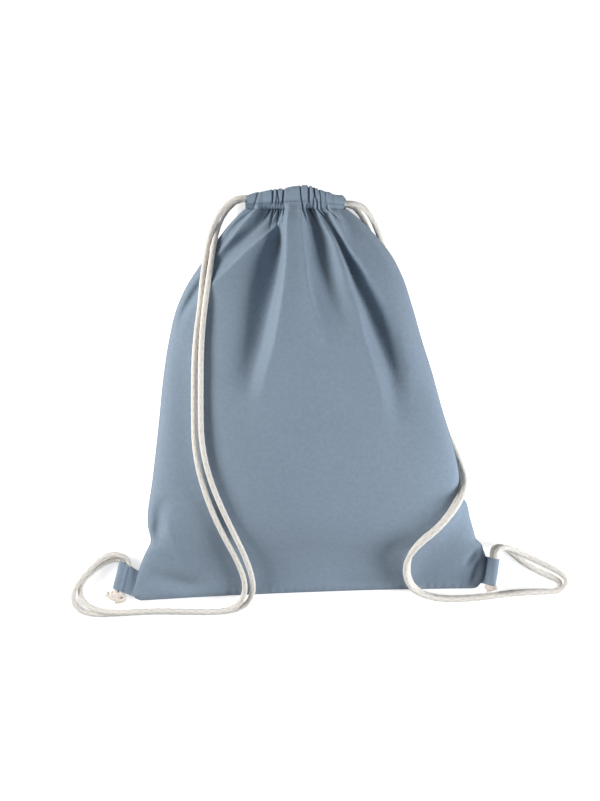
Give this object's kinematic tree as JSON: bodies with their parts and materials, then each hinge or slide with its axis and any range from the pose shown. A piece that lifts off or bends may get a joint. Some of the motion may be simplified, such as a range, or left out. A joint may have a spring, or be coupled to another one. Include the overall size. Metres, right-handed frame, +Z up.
{
  "type": "drawstring backpack",
  "caption": "Flat cotton drawstring backpack lying on its back, mouth gathered on a cord running through two hems, with cord shoulder straps knotted through folded tabs at the bottom corners.",
  "frame": {"origin": "on the floor, under the middle of the bag's outline without its free cords", "axes": "+X to the bag's right as it lies seen from above, +Y along the bag toward its gathered mouth, +Z up off the floor; it lies on its back panel"},
  "size_m": [0.5435, 0.47, 0.0765],
  "materials": {
    "cotton_cloth": "matte woven cotton, dusty blue",
    "cotton_cord": "matte braided natural cotton",
    "sewing_thread": "matte sewing thread, blue"
  },
  "bodies": {
    "bag": {"back_panel": "cotton_cloth", "front_panel_lower": "cotton_cloth", "back_casing": "cotton_cloth", "back_casing_thread": "sewing_thread", "left_side_seam_thread": "sewing_thread", "right_side_seam_thread": "sewing_thread", "bottom_seam_thread": "sewing_thread", "left_cord_back_pass": "cotton_cord", "right_cord_back_pass": "cotton_cord", "left_cord_turn": "cotton_cord", "right_cord_turn": "cotton_cord", "left_strap_outer_lower": "cotton_cord", "left_strap_inner_lower": "cotton_cord", "right_strap_outer": "cotton_cord", "right_strap_inner": "cotton_cord"},
    "front_mouth": {"front_panel_upper": "cotton_cloth", "front_casing": "cotton_cloth", "front_casing_thread": "sewing_thread", "left_cord_front_pass": "cotton_cord", "right_cord_front_pass": "cotton_cord", "left_strap_outer_upper": "cotton_cord", "left_strap_inner_upper": "cotton_cord"},
    "left_tab": {"left_tab": "cotton_cloth", "left_tab_thread": "sewing_thread", "left_cord_tab_ends": "cotton_cord", "left_knot": "cotton_cord"},
    "right_tab": {"right_tab": "cotton_cloth", "right_tab_thread": "sewing_thread", "right_cord_tab_ends": "cotton_cord", "right_knot": "cotton_cord"}
  },
  "joints": [
    {"name": "mouth_open", "type": "hinge", "parent": "bag", "child": "front_mouth", "pos_m": [0, 0.00015, 0.077], "axis": [1, 0, 0], "range_deg": [0, 12]},
    {"name": "left_tab_fold", "type": "hinge", "parent": "bag", "child": "left_tab", "pos_m": [-0.18432, -0.18985, 0.0049], "axis": [0.2454, 0.9694, 0], "range_deg": [0, 60]},
    {"name": "right_tab_fold", "type": "hinge", "parent": "bag", "child": "right_tab", "pos_m": [0.19516, -0.2074, 0.0049], "axis": [-0.1325, -0.9912, 0], "range_deg": [-5, 5]}
  ]
}
